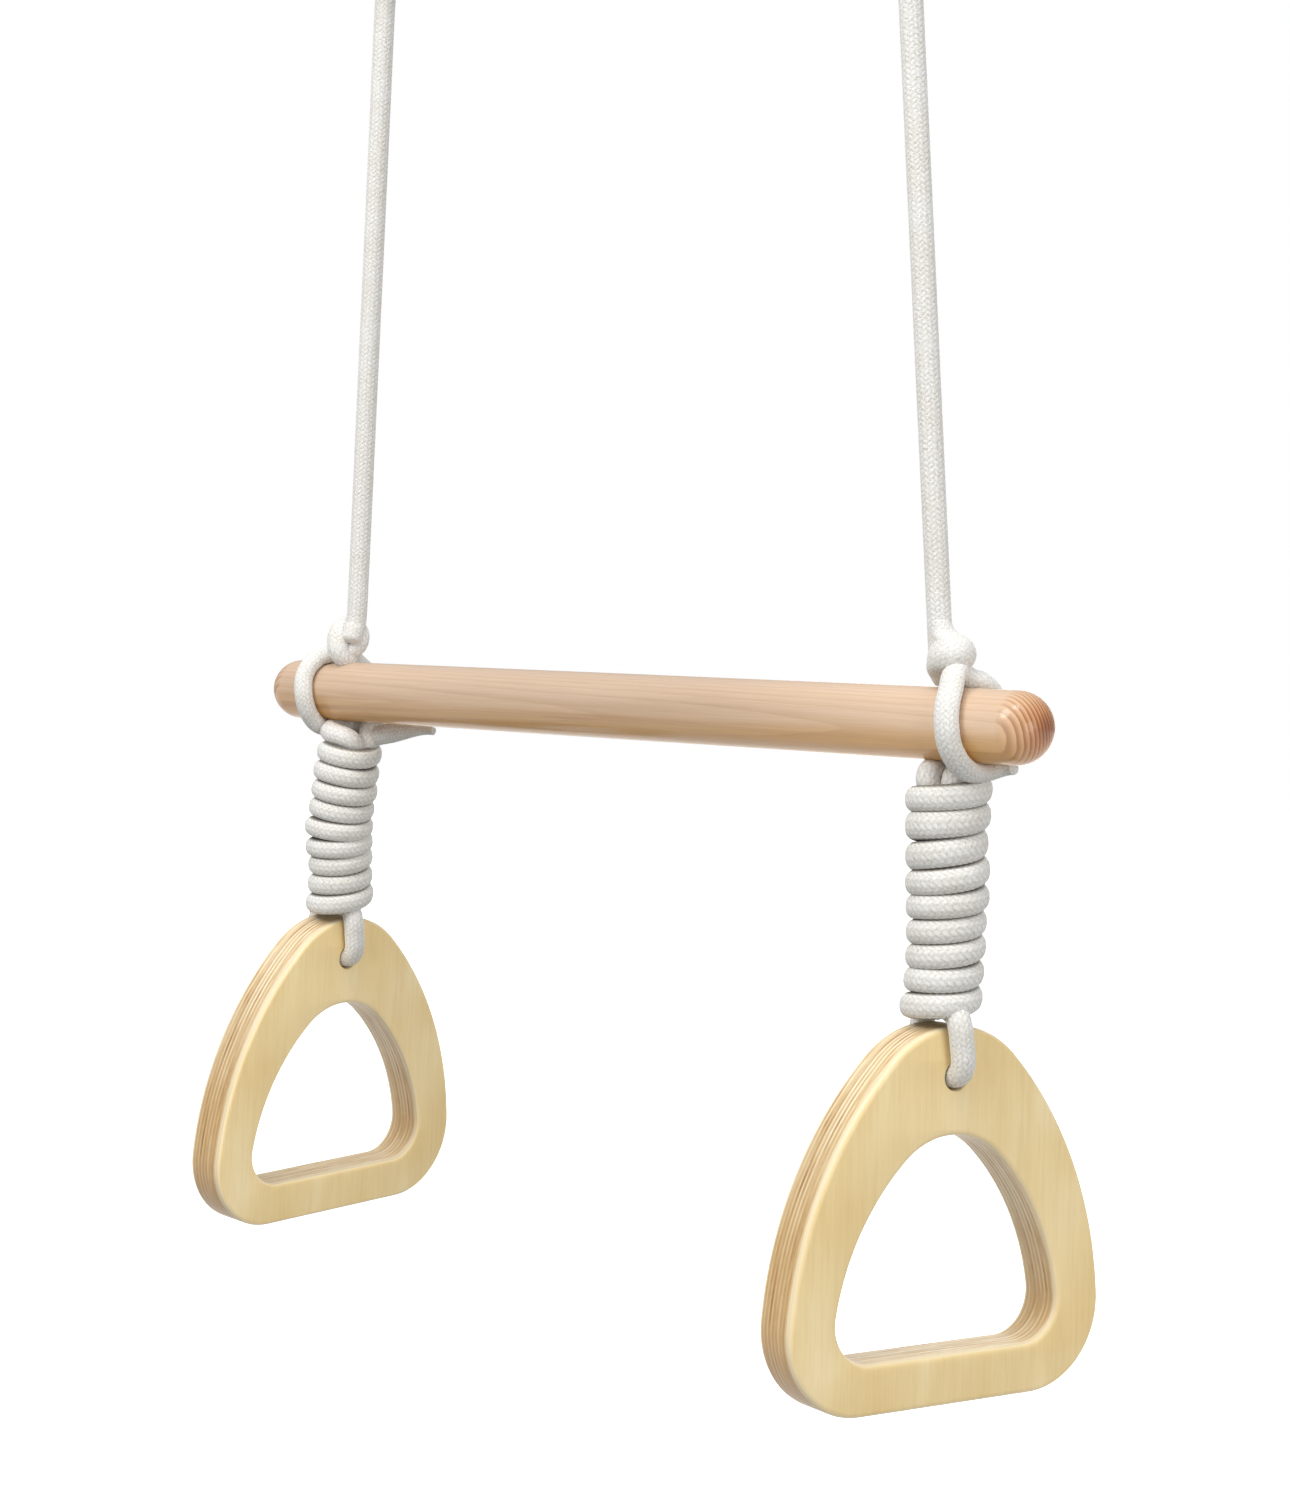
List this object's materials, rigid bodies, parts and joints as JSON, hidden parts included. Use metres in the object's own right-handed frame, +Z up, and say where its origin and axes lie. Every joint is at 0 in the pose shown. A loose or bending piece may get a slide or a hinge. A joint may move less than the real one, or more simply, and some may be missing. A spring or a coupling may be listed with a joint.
{
  "type": "trapeze bar with gymnastic rings",
  "caption": "Wooden trapeze bar hung on braided cotton ropes, with a rounded triangular plywood ring slung below each end.",
  "frame": {"origin": "midway between the two ceiling plates, on the ceiling plane", "axes": "+Z up, +X along the bar from its left end to its right end, -Y towards the side the picture was taken from"},
  "size_m": [0.567, 0.196, 0.9124],
  "materials": {
    "bar_wood": "satin lacquer",
    "birch_plywood": "satin lacquer",
    "cotton_rope": "braided",
    "zinc_steel": "zinc plated",
    "stainless_steel": "polished"
  },
  "bodies": {
    "ceiling": {"ceiling_plate_right": "zinc_steel", "ceiling_plate_left": "zinc_steel", "ceiling_eye_right": "zinc_steel", "ceiling_eye_left": "zinc_steel"},
    "carabiner_right": {"carabiner_body_right": "stainless_steel", "gate_pin_right": "zinc_steel"},
    "gate_right": {"carabiner_gate_right": "stainless_steel"},
    "rope_right": {"top_loop_right": "cotton_rope", "top_whipping_right": "cotton_rope", "hanging_rope_right": "cotton_rope"},
    "carabiner_left": {"carabiner_body_left": "stainless_steel", "gate_pin_left": "zinc_steel"},
    "gate_left": {"carabiner_gate_left": "stainless_steel"},
    "rope_left": {"top_loop_left": "cotton_rope", "top_whipping_left": "cotton_rope", "hanging_rope_left": "cotton_rope"},
    "bar": {"bar": "bar_wood", "knot_right": "cotton_rope", "front_strand_right": "cotton_rope", "back_strand_right": "cotton_rope", "knot_left": "cotton_rope", "front_strand_left": "cotton_rope", "back_strand_left": "cotton_rope", "tail_left": "cotton_rope"},
    "sling_right": {"inner_leg_right": "cotton_rope", "outer_leg_right": "cotton_rope"},
    "coil_right": {"coil_right": "cotton_rope"},
    "bight_right": {"ring_bight_right": "cotton_rope"},
    "ring_right": {"ring_right": "birch_plywood"},
    "sling_left": {"inner_leg_left": "cotton_rope", "outer_leg_left": "cotton_rope"},
    "coil_left": {"coil_left": "cotton_rope"},
    "bight_left": {"ring_bight_left": "cotton_rope"},
    "ring_left": {"ring_left": "birch_plywood"}
  },
  "joints": [
    {"name": "swing_right", "type": "hinge", "parent": "ceiling", "child": "carabiner_right", "pos_m": [0.18, 0, -0.034], "axis": [1, 0, 0], "range_deg": [-45, 45]},
    {"name": "sway_right", "type": "hinge", "parent": "carabiner_right", "child": "rope_right", "pos_m": [0.18452, 0, -0.09152], "axis": [0, 1, 0], "range_deg": [-14, 14]},
    {"name": "gate_hinge_right", "type": "hinge", "parent": "carabiner_right", "child": "gate_right", "pos_m": [0.18321, 0.013, -0.07487], "axis": [0.9969, 0, 0.0783], "range_deg": [0, 25], "stiffness_Nm_per_rad": 0.02, "springref_deg": -20.05},
    {"name": "swing_left", "type": "hinge", "parent": "ceiling", "child": "carabiner_left", "pos_m": [-0.18, 0, -0.034], "axis": [1, 0, 0], "range_deg": [-45, 45]},
    {"name": "sway_left", "type": "hinge", "parent": "carabiner_left", "child": "rope_left", "pos_m": [-0.18391, 0, -0.09157], "axis": [0, 1, 0], "range_deg": [-14, 14]},
    {"name": "gate_hinge_left", "type": "hinge", "parent": "carabiner_left", "child": "gate_left", "pos_m": [-0.18278, 0.013, -0.07491], "axis": [0.9977, 0, -0.0677], "range_deg": [0, 25], "stiffness_Nm_per_rad": 0.02, "springref_deg": -20.05},
    {"name": "bar_level", "type": "hinge", "parent": "rope_right", "child": "bar", "pos_m": [0.2211, 0, -0.557], "axis": [0, 1, 0], "range_deg": [-14, 14]},
    {"name": "sling_swing_right", "type": "hinge", "parent": "bar", "child": "sling_right", "pos_m": [0.2255, 0, -0.587], "axis": [1, 0, 0], "range_deg": [-40, 40]},
    {"name": "coil_tilt_right", "type": "hinge", "parent": "sling_right", "child": "coil_right", "pos_m": [0.2255, 0, -0.6175], "axis": [0, 1, 0], "range_deg": [-8, 8]},
    {"name": "ring_twist_right", "type": "hinge", "parent": "coil_right", "child": "bight_right", "pos_m": [0.22378, 0.00122, -0.72465], "axis": [0.0161, -0.0113, 0.9998], "range_deg": [-90, 90]},
    {"name": "ring_rock_right", "type": "hinge", "parent": "bight_right", "child": "ring_right", "pos_m": [0.2233, 0.00155, -0.75414], "axis": [-0.9737, 0.2248, -0.0366], "range_deg": [-20, 20]},
    {"name": "sling_swing_left", "type": "hinge", "parent": "bar", "child": "sling_left", "pos_m": [-0.215, 0, -0.587], "axis": [1, 0, 0], "range_deg": [-40, 40]},
    {"name": "coil_tilt_left", "type": "hinge", "parent": "sling_left", "child": "coil_left", "pos_m": [-0.215, 0, -0.6202], "axis": [0, 1, 0], "range_deg": [-8, 8]},
    {"name": "ring_twist_left", "type": "hinge", "parent": "coil_left", "child": "bight_left", "pos_m": [-0.23632, 0.00464, -0.71809], "axis": [0.2126, -0.0462, 0.976], "range_deg": [-90, 90]},
    {"name": "ring_rock_left", "type": "hinge", "parent": "bight_left", "child": "ring_left", "pos_m": [-0.24259, 0.006, -0.74688], "axis": [-0.9956, -0.0626, 0.0698], "range_deg": [-20, 20]}
  ],
  "couplings": [
    {"joint": "swing_left", "follows": "swing_right", "ratio": 1},
    {"joint": "sway_left", "follows": "sway_right", "ratio": 1},
    {"joint": "bar_level", "follows": "sway_right", "ratio": -0.8439}
  ]
}
